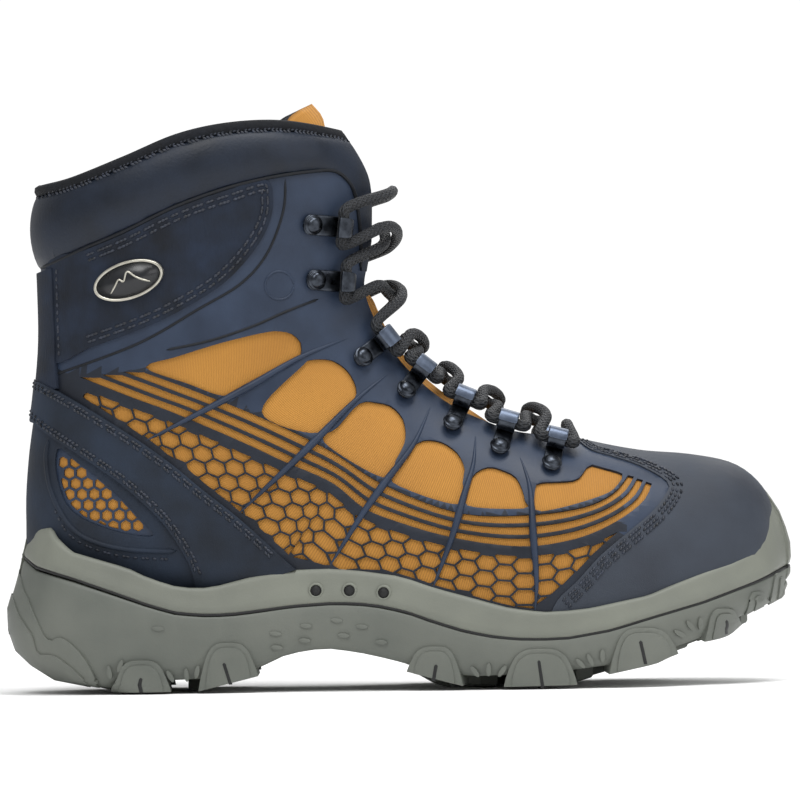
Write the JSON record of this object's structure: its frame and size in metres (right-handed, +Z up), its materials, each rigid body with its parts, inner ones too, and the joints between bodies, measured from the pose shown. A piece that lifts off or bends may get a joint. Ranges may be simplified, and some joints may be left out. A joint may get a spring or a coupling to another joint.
{
  "type": "mountaineering boot",
  "caption": "Ankle-high lace-up hiking and mountaineering boot with a cage upper, padded collar, metal lace loops and hooks, and a lugged rubber sole.",
  "frame": {"origin": "on the floor under the middle of the sole's footprint", "axes": "+X from heel to toe, +Z up, -Y the outer (lateral) side of a right foot"},
  "size_m": [0.313, 0.113, 0.2316],
  "materials": {
    "outsole_rubber": "moulded satin rubber",
    "midsole_rubber": "moulded satin rubber",
    "spring_steel": "plain spring steel",
    "fibre_board": "pressed fibre board",
    "footbed_foam": "foam with a fabric face",
    "stiffener": "thermoplastic sheet",
    "mesh_lining": "black spacer mesh",
    "foam": "open cell foam",
    "navy_synthetic": "dark navy coated synthetic",
    "navy_nubuck": "brushed dark navy nubuck look",
    "slate_synthetic": "slate navy synthetic with a slight sheen",
    "ochre_textile": "ochre textile",
    "hardware_metal": "dark gunmetal",
    "badge_metal": "satin",
    "lace_cord": "round braided cord",
    "aglet_plastic": "glossy"
  },
  "bodies": {
    "boot": {"outsole": "outsole_rubber", "midsole": "midsole_rubber", "shank": "spring_steel", "insole_board": "fibre_board", "toe_puff": "stiffener", "heel_counter": "stiffener", "lining_lateral": "mesh_lining", "lining_medial": "mesh_lining", "collar_foam": "foam", "collar_cover": "navy_synthetic", "quarter_lateral": "ochre_textile", "quarter_medial": "ochre_textile", "vamp": "slate_synthetic", "toe_cap": "navy_nubuck", "heel_cover": "navy_synthetic", "heel_strap": "slate_synthetic", "heel_window_lateral": "ochre_textile", "heel_window_medial": "ochre_textile", "eyestay_lateral": "slate_synthetic", "eyestay_medial": "slate_synthetic", "ankle_panel_lateral": "navy_nubuck", "ankle_panel_medial": "navy_nubuck", "backstay": "navy_nubuck", "badge": "badge_metal", "lace_hook_l1": "hardware_metal", "rivet_hook_l1": "hardware_metal", "lace_hook_l2": "hardware_metal", "rivet_hook_l2": "hardware_metal", "lace_loop_l1": "hardware_metal", "rivet_loop_l1": "hardware_metal", "lace_loop_l2": "hardware_metal", "rivet_loop_l2": "hardware_metal", "lace_loop_l3": "hardware_metal", "rivet_loop_l3": "hardware_metal", "lace_loop_l4": "hardware_metal", "rivet_loop_l4": "hardware_metal", "lace_loop_l5": "hardware_metal", "rivet_loop_l5": "hardware_metal", "lace_hook_m1": "hardware_metal", "rivet_hook_m1": "hardware_metal", "lace_hook_m2": "hardware_metal", "rivet_hook_m2": "hardware_metal", "lace_loop_m1": "hardware_metal", "rivet_loop_m1": "hardware_metal", "lace_loop_m2": "hardware_metal", "rivet_loop_m2": "hardware_metal", "lace_loop_m3": "hardware_metal", "rivet_loop_m3": "hardware_metal", "lace_loop_m4": "hardware_metal", "rivet_loop_m4": "hardware_metal", "lace_loop_m5": "hardware_metal", "rivet_loop_m5": "hardware_metal", "lace": "lace_cord", "aglet_a": "aglet_plastic", "aglet_b": "aglet_plastic"},
    "tongue": {"tongue_face": "ochre_textile", "tongue_foam": "foam", "tongue_lining": "mesh_lining"},
    "footbed": {"footbed": "footbed_foam"}
  },
  "joints": [
    {"name": "tongue_hinge", "type": "hinge", "parent": "boot", "child": "tongue", "pos_m": [0.057, 0, 0.095], "axis": [0, -1, 0], "range_deg": [0, 10], "stiffness_Nm_per_rad": 0.25, "springref_deg": -14.32},
    {"name": "footbed_lift", "type": "hinge", "parent": "boot", "child": "footbed", "pos_m": [0.14, 0, 0.046], "axis": [0, 1, 0], "range_deg": [0, 6]}
  ]
}
